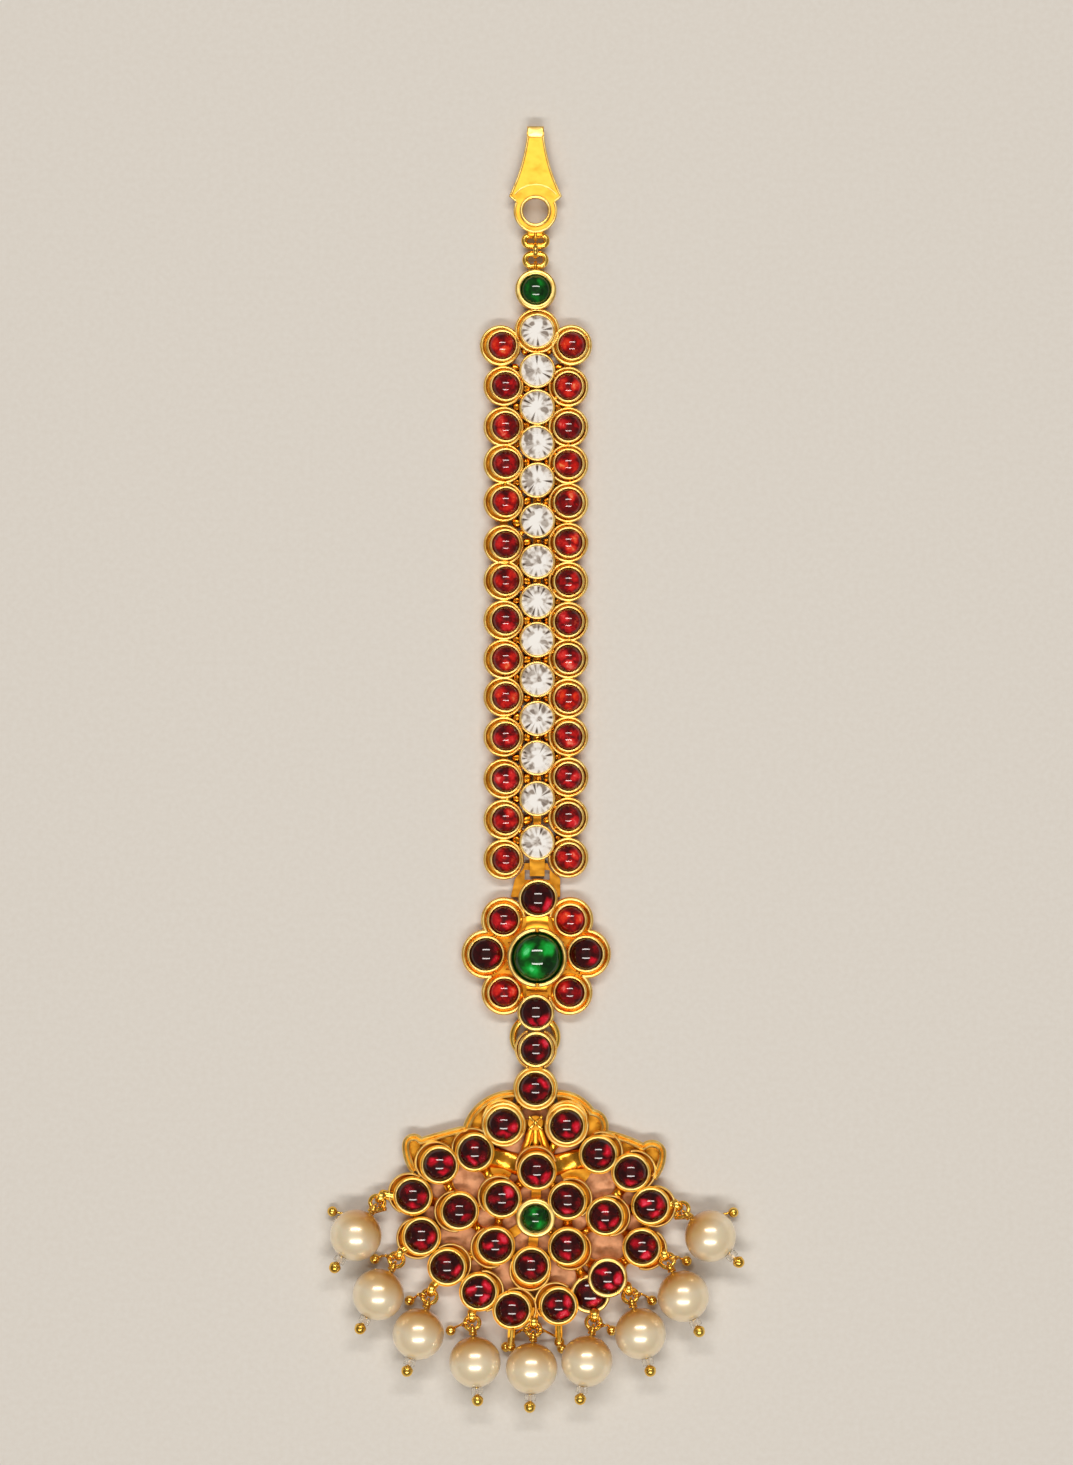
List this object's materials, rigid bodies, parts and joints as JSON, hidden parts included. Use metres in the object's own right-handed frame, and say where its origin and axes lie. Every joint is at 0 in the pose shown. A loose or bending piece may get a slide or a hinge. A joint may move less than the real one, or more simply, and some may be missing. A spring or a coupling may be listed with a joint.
{
  "type": "maang tikka",
  "caption": "Hair-parting jewel with a hair hook, a long jewelled band, a flower and a fan-shaped pendant fringed with pearls.",
  "frame": {"origin": "middle of the bounding box, on the surface that the jewel lies on", "axes": "+Y from the fan pendant towards the hair hook, +X to the right seen from the front with the hook up, +Z out of the jewelled face"},
  "size_m": [0.0486, 0.1498, 0.0061],
  "materials": {
    "gold_plated_metal": "bright gold plate over soldered, hand-finished metal",
    "ruby_red_glass": "polished domed glass stone with a foil back",
    "emerald_green_glass": "polished domed glass stone with a foil back",
    "clear_white_glass": "faceted, silver-foiled clear stone",
    "cream_pearl": "pearl coating with a soft lustre",
    "clear_tube_glass": "clear cut tube"
  },
  "bodies": {
    "root": {"ball_drops_left": "gold_plated_metal", "ball_drops_right": "gold_plated_metal", "band_frame": "gold_plated_metal", "band_green_stone": "emerald_green_glass", "band_ring": "gold_plated_metal", "band_rubies_left": "ruby_red_glass", "band_rubies_right": "ruby_red_glass", "band_white_stones": "clear_white_glass", "fan_frame": "gold_plated_metal", "fan_green_stone": "emerald_green_glass", "fan_rubies_inner": "ruby_red_glass", "fan_rubies_outer": "ruby_red_glass", "fan_ruby_high": "ruby_red_glass", "fan_ruby_sunk": "ruby_red_glass", "flower_frame": "gold_plated_metal", "flower_green_stone": "emerald_green_glass", "flower_rubies": "ruby_red_glass", "hair_hook": "gold_plated_metal", "hook_link": "gold_plated_metal", "hook_ring": "gold_plated_metal", "link_ring": "gold_plated_metal", "link_ruby": "ruby_red_glass", "pearl_1": "cream_pearl", "pearl_2": "cream_pearl", "pearl_3": "cream_pearl", "pearl_4": "cream_pearl", "pearl_5": "cream_pearl", "pearl_6": "cream_pearl", "pearl_7": "cream_pearl", "pearl_8": "cream_pearl", "pearl_9": "cream_pearl", "pearl_pin_1": "gold_plated_metal", "pearl_pin_2": "gold_plated_metal", "pearl_pin_3": "gold_plated_metal", "pearl_pin_4": "gold_plated_metal", "pearl_pin_5": "gold_plated_metal", "pearl_pin_6": "gold_plated_metal", "pearl_pin_7": "gold_plated_metal", "pearl_pin_8": "gold_plated_metal", "pearl_pin_9": "gold_plated_metal", "pearl_ring_1": "gold_plated_metal", "pearl_ring_2": "gold_plated_metal", "pearl_ring_3": "gold_plated_metal", "pearl_ring_4": "gold_plated_metal", "pearl_ring_5": "gold_plated_metal", "pearl_ring_6": "gold_plated_metal", "pearl_ring_7": "gold_plated_metal", "pearl_ring_8": "gold_plated_metal", "pearl_ring_9": "gold_plated_metal", "spacer_tube_1": "clear_tube_glass", "spacer_tube_2": "clear_tube_glass", "spacer_tube_3": "clear_tube_glass", "spacer_tube_4": "clear_tube_glass", "spacer_tube_5": "clear_tube_glass", "spacer_tube_6": "clear_tube_glass", "spacer_tube_7": "clear_tube_glass", "spacer_tube_8": "clear_tube_glass", "spacer_tube_9": "clear_tube_glass"}
  },
  "joints": []
}
